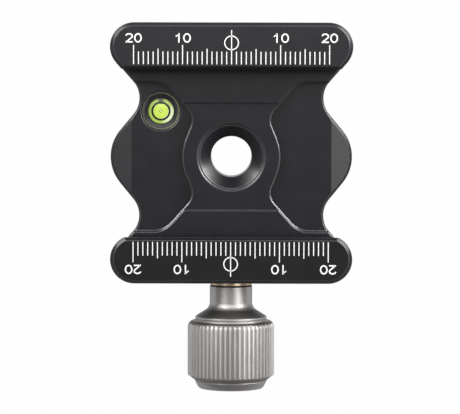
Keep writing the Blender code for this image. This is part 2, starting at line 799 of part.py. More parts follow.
def collar_profile():
    """Outer side of the knob's end, from its shallow dish to inside the barrel."""
    end = knob_length
    return [
        (0, end - DISH_DEPTH),
        (DISH_RADIUS, end - DISH_DEPTH),
        (DISH_RADIUS + DISH_DEPTH, end),
        (COLLAR_END_RADIUS - COLLAR_END_CHAMFER, end),
        (COLLAR_END_RADIUS, end - COLLAR_END_CHAMFER),
        (COLLAR_RADIUS, collar_z + COLLAR_BAND),
        (COLLAR_RADIUS, collar_z + COLLAR_GROOVE),
        (COLLAR_RADIUS - COLLAR_GROOVE, collar_z),
        (COLLAR_RADIUS - COLLAR_GROOVE, collar_z - JOINED),
        (0, collar_z - JOINED),
    ]


def make_knob(spindle):
    """One turned piece: neck, flange, knurled barrel and end collar, bored for the screw."""
    knob = make_barrel(spindle)
    knob.location.z = knob_z
    bore = SCREW_RADIUS + PRESS_GAP
    depth = SCREW_IN_KNOB + SEAT_GAP
    shapes = (
        ("knob_neck", neck_profile(), "UNION"),
        ("knob_collar", collar_profile(), "UNION"),
        ("knob_bore", [(0, depth), (bore, depth), (bore, -BEYOND), (0, -BEYOND)], "DIFFERENCE"),
    )
    for name, profile, operation in shapes:
        shape = turned(name, profile, FINE_STEPS, cutters, spindle)
        shape.location.z = knob_z
        boolean(knob, shape, operation)
    finish(knob, (0.33, 0.32, 0.31), 0.9, 0.35)


def build():
    clear_scene()
    level = (0, 0, 0)
    frame = add_empty("clamp_frame", (0, hole_y, 0), level, None)
    carriage = add_empty("jaw_carriage", level, level, frame)
    outwards = (math.radians(90), 0, 0)
    spindle = add_empty("knob_spindle", (0, front_y, screw_z), outwards, carriage)
    make_body(frame)
    make_movable_jaw(carriage)
    for side, name in ((-1, "left"), (1, "right")):
        make_guide_pin(side, name, carriage)
        make_spring(side, name, frame)
    make_stop_screw(frame)
    make_level(frame)
    make_screw_and_washers(spindle)
    make_knob(spindle)


build()
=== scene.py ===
import json
import math

import bmesh
import bpy
from mathutils import Matrix, Vector


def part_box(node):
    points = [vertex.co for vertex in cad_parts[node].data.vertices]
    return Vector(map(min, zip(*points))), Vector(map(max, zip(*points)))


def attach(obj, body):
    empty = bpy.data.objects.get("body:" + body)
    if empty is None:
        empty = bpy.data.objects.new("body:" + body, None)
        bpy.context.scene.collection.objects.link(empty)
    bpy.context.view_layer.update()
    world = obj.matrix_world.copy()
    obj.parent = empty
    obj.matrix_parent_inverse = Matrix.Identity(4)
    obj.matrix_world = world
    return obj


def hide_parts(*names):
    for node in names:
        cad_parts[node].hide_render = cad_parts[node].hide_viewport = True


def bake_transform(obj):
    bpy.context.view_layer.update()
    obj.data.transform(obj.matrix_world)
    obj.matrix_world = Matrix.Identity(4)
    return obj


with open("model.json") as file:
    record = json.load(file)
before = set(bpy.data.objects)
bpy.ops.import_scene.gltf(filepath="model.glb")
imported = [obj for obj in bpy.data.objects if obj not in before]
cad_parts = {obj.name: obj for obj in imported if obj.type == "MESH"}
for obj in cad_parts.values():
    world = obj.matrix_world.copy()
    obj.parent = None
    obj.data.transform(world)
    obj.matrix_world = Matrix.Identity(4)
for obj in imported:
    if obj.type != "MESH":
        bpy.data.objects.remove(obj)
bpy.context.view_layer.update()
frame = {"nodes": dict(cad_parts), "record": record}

# The camera hangs over the clamp and looks almost straight down. Its foot is a little behind
# the centre hole, so the hole's near wall shows. The photograph is 460 by 414 pixels.
PICTURE_WIDTH = 460
FOCAL_PIXELS = 2163
SENSOR_WIDTH = 36
CAMERA_ABOVE_JAWS = 0.440
CAMERA_BEHIND_HOLE = 0.01176
CAMERA_SIDEWAYS = -0.0003
CAMERA_LEAN = math.radians(2.837)
CAMERA_ROLL = math.radians(0.13)

openings = {place["name"]: place["box_m"] for place in frame["record"]["physics"]["openings"]}
hole = (Vector(openings["centre_hole"][0]) + Vector(openings["centre_hole"][1])) / 2
jaw_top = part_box("clamp_body")[1].z

camera_data = bpy.data.cameras.new("camera")
camera_data.sensor_width = SENSOR_WIDTH
camera_data.lens = FOCAL_PIXELS * SENSOR_WIDTH / PICTURE_WIDTH
camera_data.clip_start = 0.02
camera = bpy.data.objects.new("camera", camera_data)
bpy.context.scene.collection.objects.link(camera)
camera.location = (CAMERA_SIDEWAYS, hole.y + CAMERA_BEHIND_HOLE, jaw_top + CAMERA_ABOVE_JAWS)
camera.rotation_euler = (-CAMERA_LEAN, 0, CAMERA_ROLL)
bpy.context.scene.camera = camera
bpy.context.scene.view_settings.view_transform = "Standard"


# The table is a plain sheet that runs out of sight. It glows white for the camera, and at part
# of that strength for metal and clear plastic. Under the glow its paper is a mid grey, which
# leaves a faint shadow and throws little light up at the clamp.
PAPER_GREY = 0.22
GLOW_SHARE = 0.99
GLOW_IN_METAL = 0.42
TABLE_REACH = 4
TABLE_DROP = 0.00005
ROOM_LIGHT = 0.21


class Wire:
    """A socket of a node tree. Python's operators on it add Math nodes."""

    def __init__(self, tree, socket):
        self.tree = tree
        self.socket = socket

    def node(self, kind, settings=None, output=0, **values):
        """Adds a node, sets its options, then fills its sockets, given by name or as i0, i1, ..."""
        made = self.tree.nodes.new(kind)
        for name, value in (settings or {}).items():
            setattr(made, name, value)
        for name, value in values.items():
            numbered = name[0] == "i" and name[1:].isdigit()
            target = made.inputs[int(name[1:]) if numbered else name.replace("_", " ")]
            if isinstance(value, Wire):
                self.tree.links.new(value.socket, target)
            else:
                target.default_value = value
        return Wire(self.tree, made.outputs[output])

    def maths(self, operation, first, second=0.0):
        return self.node("ShaderNodeMath", {"operation": operation}, i0=first, i1=second)

    def __add__(self, other):
        return self.maths("ADD", self, other)

    def __radd__(self, other):
        return self.maths("ADD", other, self)

    def __sub__(self, other):
        return self.maths("SUBTRACT", self, other)

    def __rsub__(self, other):
        return self.maths("SUBTRACT", other, self)

    def __mul__(self, other):
        return self.maths("MULTIPLY", self, other)

    def __rmul__(self, other):
        return self.maths("MULTIPLY", other, self)

    def __truediv__(self, other):
        return self.maths("DIVIDE", self, other)

    def __pow__(self, other):
        return self.maths("POWER", self, other)

    def __lt__(self, other):
        return self.maths("LESS_THAN", self, other)

    def __gt__(self, other):
        return self.maths("GREATER_THAN", self, other)

    def __abs__(self):
        return self.maths("ABSOLUTE", self)

    def between(self, low, high):
        """1 where the value lies between two others, else 0."""
        return (self > low) * (self < high)

    def clamped(self):
        return self.node("ShaderNodeClamp", i0=self)

    def part(self, axis):
        """The x, y or z of a vector, by its number."""
        return self.node("ShaderNodeSeparateXYZ", output=axis, i0=self)

    def into(self, target):
        self.tree.links.new(self.socket, target)


def object_from(bm, name):
    """A new object at the origin from a bmesh, which is freed."""
    mesh = bpy.data.meshes.new(name)
    bm.to_mesh(mesh)
    bm.free()
    made = bpy.data.objects.new(name, mesh)
    bpy.context.scene.collection.objects.link(made)
    return made


table_finish = bpy.data.materials.new("white_table")
table_finish.use_nodes = True
tree = table_finish.node_tree
tree.nodes.clear()
out = tree.nodes.new("ShaderNodeOutputMaterial")
light_path = tree.nodes.new("ShaderNodeLightPath")
camera_ray, glossy_ray, through_ray = (
    Wire(tree, light_path.outputs[name])
    for name in ("Is Camera Ray", "Is Glossy Ray", "Is Transmission Ray")
)
paper = camera_ray.node("ShaderNodeBsdfDiffuse", Color=(PAPER_GREY, PAPER_GREY, PAPER_GREY, 1))
glow = camera_ray.node("ShaderNodeEmission", Color=(1, 1, 1, 1), Strength=1.0)
share = (camera_ray + (glossy_ray + through_ray) * GLOW_IN_METAL).clamped() * GLOW_SHARE
camera_ray.node("ShaderNodeMixShader", i0=share, i1=paper, i2=glow).into(out.inputs["Surface"])

bm = bmesh.new()
bmesh.ops.create_grid(bm, x_segments=1, y_segments=1, size=TABLE_REACH)
bmesh.ops.translate(bm, vec=(0, 0, -TABLE_DROP), verts=bm.verts)
table = object_from(bm, "table")
table.data.materials.append(table_finish)

world = bpy.data.worlds.new("studio")
world.use_nodes = True
bpy.context.scene.world = world
room = world.node_tree.nodes["Background"]
room.inputs["Color"].default_value = (1, 1, 1, 1)
room.inputs["Strength"].default_value = ROOM_LIGHT


# Soft boxes stand behind the fixed jaw and at both sides, the stronger ones to the right. The
# low ones draw the bright edges and the high ones light the flats and the knob. Bearings turn
# from +Y to +X, and like the rise over the table they are in degrees.
LAMP_DISTANCE = 0.45
LAMP_TARGET = Vector((0, 0, 0.01))


def soft_box(name, bearing, rise, width, height, power):
    data = bpy.data.lights.new(name, "AREA")
    data.shape = "RECTANGLE"
    data.size = width
    data.size_y = height
    data.energy = power
    lamp = bpy.data.objects.new(name, data)
    bpy.context.scene.collection.objects.link(lamp)
    bearing, rise = math.radians(bearing), math.radians(rise)
    outward = Vector((math.sin(bearing), math.cos(bearing), 0)) * math.cos(rise)
    outward.z = math.sin(rise)
    lamp.location = LAMP_TARGET + outward * LAMP_DISTANCE
    lamp.rotation_euler = (-outward).to_track_quat("-Z", "Y").to_euler()


for lamp_values in (
    ("right_box", 60, 31, 0.28, 0.24, 1.30),
    ("right_high_box", 98, 54, 0.26, 0.20, 0.27),
    ("right_low_box", 50, 12, 0.32, 0.14, 1.75),
    ("left_box", -50, 38, 0.28, 0.24, 1.10),
    ("left_high_box", -92, 56, 0.22, 0.16, 0.08),
    ("left_low_box", -44, 12, 0.24, 0.14, 1.17),
    ("back_panel", 0, 66, 0.32, 0.22, 0.35),
):
    soft_box(*lamp_values)


# The base and the fixed jaw are milled from one block of aluminium, blasted with fine beads
# and anodised black, so edges shine where the black is thinner and flats look velvety. The
# countersink looks smoother than the rest.
BODY_BLACK = (0.0065, 0.0065, 0.0089)
BODY_GLOSS = 0.61
THIN_BLACK = (0.29, 0.29, 0.31)
EDGE_WIDTH = 0.00028
EDGE_ROUNDING = 0.00034
RELIEF_STEP = 0.01105
RELIEF_STEP_BAND = 0.0004
RELIEF_STEP_REACH = 0.0098
SINK_RADIUS = 0.0066


def smoothed(piece, sharp_from):
    """Shades a piece smooth, but for edges that turn by more than an angle in degrees."""
    piece.data.shade_smooth()
    piece.data.set_sharp_from_angle(angle=math.radians(sharp_from))


def shaped_copy(node, name, body, sharp_from):
    """The solid's own form as one closed mesh with smooth curves, which stands for its node."""
    bm = bmesh.new()
    bm.from_mesh(frame["nodes"][node].data)
    bmesh.ops.remove_doubles(bm, verts=bm.verts, dist=0.000002)
    piece = object_from(bm, name)
    if "custom_normal" in piece.data.attributes:
        piece.data.attributes.remove(piece.data.attributes["custom_normal"])
    smoothed(piece, sharp_from)
    if body:
        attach(piece, body)
    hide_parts(node)
    return piece


def finish(name, **constants):
    """A new Principled material with its constant values; gives it, its shader and its coordinates."""
    material = bpy.data.materials.new(name)
    material.use_nodes = True
    shader = material.node_tree.nodes["Principled BSDF"]
    for socket, value in constants.items():
        shader.inputs[socket.replace("_", " ")].default_value = value
    coordinates = material.node_tree.nodes.new("ShaderNodeTexCoord")
    return material, shader, Wire(material.node_tree, coordinates.outputs["Object"])


def mixed(here, first, second, share):
    """Goes from one colour to another by a share from 0 to 1. Each is fixed or a wire."""
    ends = [colour if isinstance(colour, Wire) else (*colour, 1) for colour in (first, second)]
    settings = {"data_type": "RGBA", "clamp_factor": True}
    return here.node("ShaderNodeMix", settings, output=2, i0=share, i6=ends[0], i7=ends[1])


def measured_from(here, centre, across=(1, 1, 0)):
    """A point's place as seen from a centre, and how far it is from the axis through it."""
    place = here.node("ShaderNodeMapping", Vector=here, Location=tuple(-centre))
    flat = here.node("ShaderNodeVectorMath", {"operation": "MULTIPLY"}, i0=place, i1=across)
    return place, here.node("ShaderNodeVectorMath", {"operation": "LENGTH"}, output=1, i0=flat)


def edge_share(here, radius, gain):
    """Near 1 along edges and 0 on flats, from how far a rounded edge's normal turns."""
    true_normal = here.node("ShaderNodeNewGeometry", output=1)
    round_normal = here.node("ShaderNodeBevel", {"samples": 8}, Radius=radius)
    lined_up = here.node(
        "ShaderNodeVectorMath", {"operation": "DOT_PRODUCT"}, output=1, i0=true_normal, i1=round_normal
    )
    return ((1 - lined_up) * gain).clamped()


def anodised(name, black, gloss):
    """Blasted black: mottled, paler on worn edges, fainter on the island's low steps."""
    material, shader, here = finish(name, Specular_IOR_Level=gloss, Coat_Roughness=0.28, Coat_IOR=1.66)
    grain = here.node("ShaderNodeTexNoise", i0=here, Scale=7000, Detail=2, Roughness=0.6)
    cloud = here.node("ShaderNodeTexNoise", i0=here, Scale=260, Detail=3, Roughness=0.5)
    from_hole, radius = measured_from(here, hole)
    lengthways = abs(from_hole.part(1)).between(
        RELIEF_STEP - RELIEF_STEP_BAND, RELIEF_STEP + RELIEF_STEP_BAND
    )
    on_step = lengthways * (abs(from_hole.part(0)) < RELIEF_STEP_REACH)
    edge = edge_share(here, EDGE_WIDTH, 5.0)
    rim = edge * (0.7 + cloud * 0.4) * (1 - on_step * 0.8)
    darker, paler = (tuple(value * strength for value in black) for strength in (0.84, 1.16))
    base = mixed(here, darker, paler, (grain * 0.5 + cloud * 0.5 - 0.28) * 2.2)
    mixed(here, base, THIN_BLACK, rim).into(shader.inputs["Base Color"])
    (rim * 0.9).into(shader.inputs["Metallic"])
    (radius < SINK_RADIUS).into(shader.inputs["Coat Weight"])
    (0.31 + (cloud - 0.5) * 0.08 - edge * 0.15).into(shader.inputs["Roughness"])
    soft = here.node("ShaderNodeBevel", {"samples": 16}, Radius=EDGE_ROUNDING)
    bumped = here.node("ShaderNodeBump", Strength=0.05, Distance=0.00003, Height=grain, Normal=soft)
    bumped.into(shader.inputs["Normal"])
    return material


body = shaped_copy("clamp_body", "clamp_body_finished", "clamp", sharp_from=12)
body.data.materials.append(anodised("black_anodised_body", BODY_BLACK, BODY_GLOSS))


# The movable jaw is a milled bar of its own, anodised black; painted shade makes it darker.
# It slides on two guide pins and carries the same scale as the fixed jaw, turned round.
JAW_BLACK_WITH_PAINTED_SHADE = (0.0045, 0.0043, 0.0057)
JAW_GLOSS = 0.58

jaw = shaped_copy("movable_jaw", "movable_jaw_finished", "jaw", sharp_from=12)
jaw.data.materials.append(anodised("black_anodised_jaw", JAW_BLACK_WITH_PAINTED_SHADE, JAW_GLOSS))


# Each jaw has a millimetre scale from 20 to 20 with a ringed centre line. It is cut by a fine
# engraver and filled with white paint, which stands a hair proud of the metal.
SCALE_END = 20
TICK_STEP = 0.000995
TICK_WIDTH = 0.00020
PAINT_HEIGHT = 0.00002
PAINT_DEPTH = 0.00012
DIGIT_HEIGHT = 0.00192
DIGIT_WIDTH = 0.00158
DIGIT_GAP = 0.00022
DIGIT_STROKE = 0.00028
RING_RADIUS = 0.00139
RING_STROKE = 0.00022
JAW_SCALE_SHIFT = -0.0001


def arc(x, y, radius_x, radius_y, start, end, steps):
    """Points along part of an ellipse, angles in degrees, anticlockwise where end is above start."""
    angles = [math.radians(start + (end - start) * step / steps) for step in range(steps + 1)]
    return [(x + radius_x * math.cos(angle), y + radius_y * math.sin(angle)) for angle in angles]


def add_groove(bm, path, width, closed=False):
    """A filled groove of even width along a path, as a thin solid just proud of the metal."""
    points = [Vector((x, y, 0)) for x, y in path]
    if closed:
        points = points[:-1]
    left, right = [], []
    for index, point in enumerate(points):
        before = points[index - 1] if index or closed else point
        after = points[(index + 1) % len(points)] if index + 1 < len(points) or closed else point
        coming, going = (point - before).normalized(), (after - point).normalized()
        along = (coming + going).normalized()
        across = Vector((-along.y, along.x, 0))
        reach = across * (width / 2 / max(coming.dot(along), going.dot(along), 0.5))
        left.append(bm.verts.new(point + reach))
        right.append(bm.verts.new(point - reach))
    if closed:
        loops = [bm.edges.new((side[i - 1], side[i])) for side in (left, right) for i in range(len(side))]
        faces = bmesh.ops.bridge_loops(bm, edges=loops)["faces"]
    else:
        faces = [bm.faces.new(left + right[::-1])]
    bmesh.ops.translate(bm, vec=(0, 0, PAINT_HEIGHT), verts=left + right)
    grown = bmesh.ops.extrude_face_region(bm, geom=faces)["geom"]
    lower = [item for item in grown if isinstance(item, bmesh.types.BMVert)]
    bmesh.ops.translate(bm, vec=(0, 0, -PAINT_HEIGHT - PAINT_DEPTH), verts=lower)


def add_digit(bm, digit, x, foot):
    """An engraved 0, 1 or 2. Its strokes' ends are shares of the digit's width and height."""
    half = DIGIT_STROKE / 2
    width, height = DIGIT_WIDTH - DIGIT_STROKE, DIGIT_HEIGHT - DIGIT_STROKE
    x, y = x + half, foot + half
    if digit == "0":
        oval = arc(x + width / 2, y + height / 2, width / 2, height / 2, 0, 360, 28)
        add_groove(bm, oval, DIGIT_STROKE, closed=True)
    elif digit == "1":
        stem = x + width * 0.62
        add_groove(bm, [(stem, y - half), (stem, y + height + half)], DIGIT_STROKE)
        flag = [(stem - width * 0.50, y + height * 0.66), (stem, y + height * 0.98)]
        add_groove(bm, flag, DIGIT_STROKE * 0.75)
    else:
        bowl = arc(x + width / 2, y + height * 0.72, width / 2, height * 0.28, 172, -38, 14)
        add_groove(bm, bowl + [(x + width * 0.12, y + half * 0.4)], DIGIT_STROKE)
        add_groove(bm, [(x - half * 0.4, y), (x + width + half * 0.6, y)], DIGIT_STROKE)


def scale_marks(name, body, centre, turn, foot, minor, middle, major, digits, ring, line_end):
    """A whole scale as one mesh. Its rows are distances from the hole's axis along the turned Y."""
    bm = bmesh.new()
    for millimetre in range(-SCALE_END, SCALE_END + 1):
        x = millimetre * TICK_STEP
        top = middle if millimetre % 5 == 0 else minor
        if millimetre % 10 == 0:
            top = major if millimetre else line_end
        add_groove(bm, [(x, foot), (x, top)], TICK_WIDTH)
        if millimetre and millimetre % 10 == 0:
            start = x - DIGIT_WIDTH - DIGIT_GAP / 2
            for place, digit in enumerate(str(abs(millimetre))):
                add_digit(bm, digit, start + place * (DIGIT_WIDTH + DIGIT_GAP), digits)
    add_groove(bm, arc(0, ring, RING_RADIUS, RING_RADIUS, 0, 360, 40), RING_STROKE, closed=True)
    bmesh.ops.recalc_face_normals(bm, faces=bm.faces)
    placed = Matrix.Translation(centre) @ Matrix.Rotation(turn, 4, "Z")
    bmesh.ops.transform(bm, matrix=placed, verts=bm.verts)
    piece = object_from(bm, name)
    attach(piece, body)
    return piece


paint, shader, here = finish("white_scale_paint", Roughness=0.55)
speck = here.node("ShaderNodeTexNoise", i0=here, Scale=9000, Detail=2)
mixed(here, (0.74, 0.74, 0.74), (0.90, 0.90, 0.90), speck * 1.6).into(shader.inputs["Base Color"])
here.node("ShaderNodeBump", Strength=0.2, Distance=0.00002, Height=speck).into(shader.inputs["Normal"])

scale_place = Vector((0, hole.y, jaw_top))
fixed_scale = scale_marks(
    "fixed_jaw_scale", "clamp", scale_place, 0,
    foot=0.01895, minor=0.02152, middle=0.02207, major=0.02287,
    digits=0.02332, ring=0.02330, line_end=0.02590,
)
moving_scale = scale_marks(
    "movable_jaw_scale", "jaw", scale_place + Vector((JAW_SCALE_SHIFT, 0, 0)), math.pi,
    foot=0.01722, minor=0.02000, middle=0.02055, major=0.02136,
    digits=0.02187, ring=0.02173, line_end=0.02430,
)
for piece in (fixed_scale, moving_scale):
    piece.data.materials.append(paint)


# The round level is a clear cup pressed into the left pocket. It looks dark and smoky from
# above, and its lip is painted with a glow of the liquid's green, brighter towards the right.
CUP_LIP = 0.00026
WINDOW_FIT = 0.00005
CUP_SMOKE = (0.009, 0.009, 0.012)
CUP_SMOKE_PALE = (0.030, 0.027, 0.033)
CUP_LIP_PAINTED_GLOW = (0.21, 0.26, 0.12)


def spun(name, profile, centre, steps=64):
    """A closed solid of revolution about a vertical axis, from (radius, height) points."""
    bm = bmesh.new()
    verts = [bm.verts.new((radius, 0, height)) for radius, height in profile]
    edges = [bm.edges.new(pair) for pair in zip(verts, verts[1:])]
    if profile[0][0] > 0:
        edges.append(bm.edges.new((verts[-1], verts[0])))
    bmesh.ops.spin(
        bm, geom=edges, cent=(0, 0, 0), axis=(0, 0, 1), angle=math.tau, steps=steps, use_merge=True
    )
    bmesh.ops.remove_doubles(bm, verts=bm.verts, dist=0.000001)
    bmesh.ops.recalc_face_normals(bm, faces=bm.faces)
    bmesh.ops.translate(bm, vec=centre, verts=bm.verts)
    piece = object_from(bm, name)
    smoothed(piece, sharp_from=35)
    return piece


cup_low, cup_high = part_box("level_vial")
fluid_low, fluid_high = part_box("level_fluid")
level_centre = Vector(((cup_low.x + cup_high.x) / 2, (cup_low.y + cup_high.y) / 2, 0))
cup_radius = (cup_high.x - cup_low.x) / 2
window_radius = (fluid_high.x - fluid_low.x) / 2 + WINDOW_FIT

cup = spun("level_cup", [
    (window_radius, cup_high.z - 0.00030),
    (window_radius + 0.00012, cup_high.z - 0.00012),
    (cup_radius - 0.00034, cup_high.z - 0.00004),
    (cup_radius - 0.00022, cup_high.z + 0.00002),
    (cup_radius - 0.00006, cup_high.z),
    (cup_radius, cup_high.z - 0.00006),
    (cup_radius, cup_low.z),
    (window_radius, cup_low.z),
], level_centre)
material, shader, here = finish("smoky_level_cup", Specular_IOR_Level=0.52, Coat_Roughness=0.04)
from_centre, radius = measured_from(here, level_centre)
lip = radius > cup_radius - CUP_LIP
right = (from_centre.part(0) / radius).clamped()
haze = here.node("ShaderNodeTexNoise", i0=here, Scale=900, Detail=2)
smoke = mixed(here, CUP_SMOKE, CUP_SMOKE_PALE, haze * 1.2 - 0.2)
# Painted glow on the lip, brighter towards the right as painted light.
mixed(here, smoke, CUP_LIP_PAINTED_GLOW, lip * (0.35 + right * 0.65)).into(shader.inputs["Base Color"])
(0.14 + haze * 0.10).into(shader.inputs["Roughness"])
(0.05 + lip * 0.95).into(shader.inputs["Coat Weight"])
cup.data.materials.append(material)
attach(cup, "clamp")
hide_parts("level_vial")


# A shallow lens of clear plastic is the cup's window. The liquid shows through it, and it
# mirrors the lamps a little.
WINDOW_BELOW_LIP = 0.00008
WINDOW_SAG = 0.00022
WINDOW_DEPTH = 0.00060
WINDOW_STEPS = 8

window_profile = [
    (window_radius * step / WINDOW_STEPS,
     cup_high.z - WINDOW_BELOW_LIP - WINDOW_SAG * (step / WINDOW_STEPS)**2)
    for step in range(WINDOW_STEPS + 1)
]
window_profile += [(window_radius, cup_high.z - WINDOW_DEPTH), (0, cup_high.z - WINDOW_DEPTH)]
window = spun("level_window", window_profile, level_centre)
material, shader, here = finish("clear_level_window", Base_Color=(1, 1, 1, 1), Roughness=0.02)
clear = here.node("ShaderNodeBsdfTransparent", Color=(0.96, 1.0, 0.93, 1))
gloss = here.node("ShaderNodeBsdfAnisotropic", Color=(1, 1, 1, 1), Roughness=0.04)
facing = here.node("ShaderNodeFresnel", IOR=1.38)
out = material.node_tree.nodes["Material Output"]
here.node("ShaderNodeMixShader", i0=facing, i1=clear, i2=gloss).into(out.inputs["Surface"])
window.data.materials.append(material)
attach(window, "clamp")


# The cup is filled with a yellow-green liquid, whose glow is painted in as emission. It is darker
# towards its wall, with a painted highlight at the right and a painted dark reflection at the back.
LIQUID_CLEARANCE = 0.00012
LIQUID_TOP_GAP = 0.00005
LIQUID_SHOULDER = 0.00016
LIQUID_GREEN = (0.66, 0.76, 0.17)
LIQUID_GREEN_DEEP = (0.33, 0.42, 0.09)
LIQUID_GLINT = (0.95, 0.95, 0.72)
LIQUID_SHADOW = (0.03, 0.05, 0.03)

liquid_radius = window_radius - LIQUID_CLEARANCE
liquid = spun("level_liquid", [
    (0, fluid_high.z - LIQUID_TOP_GAP),
    (liquid_radius * 0.75, fluid_high.z - LIQUID_TOP_GAP),
    (liquid_radius, fluid_high.z - LIQUID_SHOULDER),
    (liquid_radius, fluid_low.z),
    (0, fluid_low.z),
], level_centre)
material, shader, here = finish("yellow_green_liquid", Roughness=0.25, Emission_Strength=0.60)
from_centre, radius = measured_from(here, level_centre)
right, back = from_centre.part(0) / radius, from_centre.part(1) / radius
toward_wall = (radius / liquid_radius) ** 3
swirl = here.node("ShaderNodeTexNoise", i0=here, Scale=500, Detail=2)
colour = mixed(here, LIQUID_GREEN, LIQUID_GREEN_DEEP, toward_wall * 0.8 + swirl * 0.3 - 0.1)
# The glint is a painted highlight and the dark patch a painted reflection; both glow as well.
glint = ((right * 0.90 - back * 0.44 - 0.45) * 2.2).clamped()
colour = mixed(here, colour, LIQUID_GLINT, glint)
colour = mixed(here, colour, LIQUID_SHADOW, ((back - 0.93) * 14).clamped())
colour.into(shader.inputs["Base Color"])
colour.into(shader.inputs["Emission Color"])
liquid.data.materials.append(material)
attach(liquid, "clamp")
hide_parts("level_fluid")


# A black ring is printed under the window. The bubble stands inside it when the clamp is level.
# The print is a thin film, which lies just over the liquid.
RING_OUTER = 0.00200
RING_INNER = 0.00158
PRINT_ABOVE_LIQUID = 0.00003
PRINT_THICKNESS = 0.00004


def speckled(name, dark, pale, scale, detail=2, **constants):
    """A finish with fine specks in its colour; gives it, its shader and the specks."""
    material, shader, here = finish(name, **constants)
    specks = here.node("ShaderNodeTexNoise", i0=here, Scale=scale, Detail=detail)
    mixed(here, dark, pale, specks).into(shader.inputs["Base Color"])
    return material, shader, specks


print_top = fluid_high.z + PRINT_ABOVE_LIQUID
print_foot = print_top - PRINT_THICKNESS
ring = spun("level_ring", [
    (RING_OUTER, print_top), (RING_OUTER, print_foot), (RING_INNER, print_foot), (RING_INNER, print_top),
], level_centre)
material = speckled(
    "black_print", (0.003, 0.003, 0.003), (0.007, 0.007, 0.007), 6000, Roughness=0.5
)[0]
ring.data.materials.append(material)
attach(ring, "clamp")


# The bubble is air that floats under the window, so it is a flat dome. Its light is painted: a
# glow of the liquid's green, painted shade towards its edge, and a painted reflection of the lamps
# as a small bright point in a darker dot at its middle.
BUBBLE_RADIUS = 0.00156
BUBBLE_RISE = 0.00016
BUBBLE_FOOT = 0.0001
BUBBLE_STEPS = 8
BUBBLE_DOT = 0.00034
BUBBLE_POINT = 0.00016

bubble_foot = fluid_high.z - BUBBLE_FOOT
bubble_profile = [(0, bubble_foot + BUBBLE_RISE)]
for step in range(1, BUBBLE_STEPS + 1):
    angle = math.radians(90 * step / BUBBLE_STEPS)
    bubble_profile.append((BUBBLE_RADIUS * math.sin(angle), bubble_foot + BUBBLE_RISE * math.cos(angle)))
bubble_profile.append((0, bubble_foot))
bubble = spun("level_bubble", bubble_profile, level_centre, 48)
material, shader, here = finish("bubble", Roughness=0.12, Coat_Weight=0.4, Emission_Strength=0.50)
radius = measured_from(here, level_centre)[1]
# Painted shade in the dot and at the edge, and a painted highlight at the middle.
shade = (radius < BUBBLE_DOT) * 0.8 + (radius / BUBBLE_RADIUS) ** 4 * 0.2
colour = mixed(here, (0.70, 0.80, 0.15), (0.22, 0.27, 0.05), shade)
colour = mixed(here, colour, (1.0, 1.0, 0.85), radius < BUBBLE_POINT)
colour.into(shader.inputs["Base Color"])
colour.into(shader.inputs["Emission Color"])
bubble.data.materials.append(material)
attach(bubble, "clamp")


# A pale plastic disc closes the cup from below and sends the light back up through the liquid.
# It is the CAD's own solid, which only gets its finish here.
material = speckled("level_plug", (0.6, 0.64, 0.5), (0.75, 0.8, 0.66), 3000, Roughness=0.5)[0]
frame["nodes"]["level_plug"].data.materials.clear()
frame["nodes"]["level_plug"].data.materials.append(material)


# The knob is turned from one bar, blasted and anodised titanium grey. Straight ridges are
# rolled round its barrel; the neck, the flange and the collar keep faint turning rings. Painted
# shade darkens the ridges' grooves, most where they run out, a line round the flange and the
# collar, and a painted reflection of the black jaw darkens the cone. These zones are given by
# their distance from the outer end.
END_COLLAR = 0.00167
END_CHAMFER = 0.00262
RIDGES_RUN_OUT = 0.01330
SHOULDER = 0.01402
FLANGE_LINE = 0.01442
FLANGE_LINE_WIDTH = 0.00018
CONE_START = 0.01505
CONE_END = 0.01640
NECK_START = 0.01760
RIDGE_DEPTH = 0.0004
KNOB_EDGE = 0.00014
TITANIUM = (0.505, 0.489, 0.478)
TITANIUM_PALE = (0.66, 0.64, 0.625)
TITANIUM_PAINTED_SHADE = (0.154, 0.148, 0.142)
TITANIUM_WORN = (0.95, 0.94, 0.92)


def turning_rings(here, stretch, scale, roughness=0.5):
    """Fine rings round the Y axis, as a lathe leaves them."""
    stretched = here.node("ShaderNodeMapping", Vector=here, Scale=(1, stretch, 1))
    return here.node("ShaderNodeTexNoise", i0=stretched, Scale=scale, Detail=3, Roughness=roughness)


knob = shaped_copy("knob", "knob_finished", "knob", sharp_from=28)
knob_low, knob_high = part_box("knob")
knob_axis = Vector((0, 0, (knob_low.z + knob_high.z) / 2))
material, shader, here = finish("titanium_grey", Metallic=1.0)
grain = here.node("ShaderNodeTexNoise", i0=here, Scale=6500, Detail=2, Roughness=0.6)
rings = turning_rings(here, 60, 130, roughness=0.6)
cloud = here.node("ShaderNodeTexNoise", i0=here, Scale=400, Detail=2)
radius = measured_from(here, knob_axis, across=(1, 0, 1))[1]
from_end = here.part(1) - knob_low.y
deep = (((knob_high.z - knob_low.z) / 2 - radius) / RIDGE_DEPTH).clamped()
deep = deep * from_end.between(END_COLLAR, SHOULDER)
ridge_ends = (from_end < END_CHAMFER) + (from_end > RIDGES_RUN_OUT)
# Painted shade in the grooves, on the flange line and the collar, and a painted dark reflection on the
# cone.
shade = (
    deep * (0.48 + ridge_ends * 0.42)
    + from_end.between(FLANGE_LINE, FLANGE_LINE + FLANGE_LINE_WIDTH) * 0.85
    + (from_end < END_COLLAR) * 0.33
    + from_end.between(CONE_START, CONE_END) * 0.62
).clamped()
base = mixed(here, TITANIUM, TITANIUM_PALE, rings * 0.35 + cloud * 0.3 + grain * 0.35)
base = mixed(here, base, TITANIUM_PAINTED_SHADE, shade)
worn = edge_share(here, KNOB_EDGE, 4.0) * 0.6
mixed(here, base, TITANIUM_WORN, worn).into(shader.inputs["Base Color"])
neck = from_end > NECK_START
(0.43 - neck * 0.08 + (cloud - 0.5) * 0.06 + (rings - 0.5) * 0.05).into(shader.inputs["Roughness"])
soft = here.node("ShaderNodeBevel", {"samples": 4}, Radius=KNOB_EDGE)
bumped = here.node("ShaderNodeBump", Strength=0.5, Distance=0.00003, Height=grain + rings, Normal=soft)
bumped.into(shader.inputs["Normal"])
knob.data.materials.append(material)


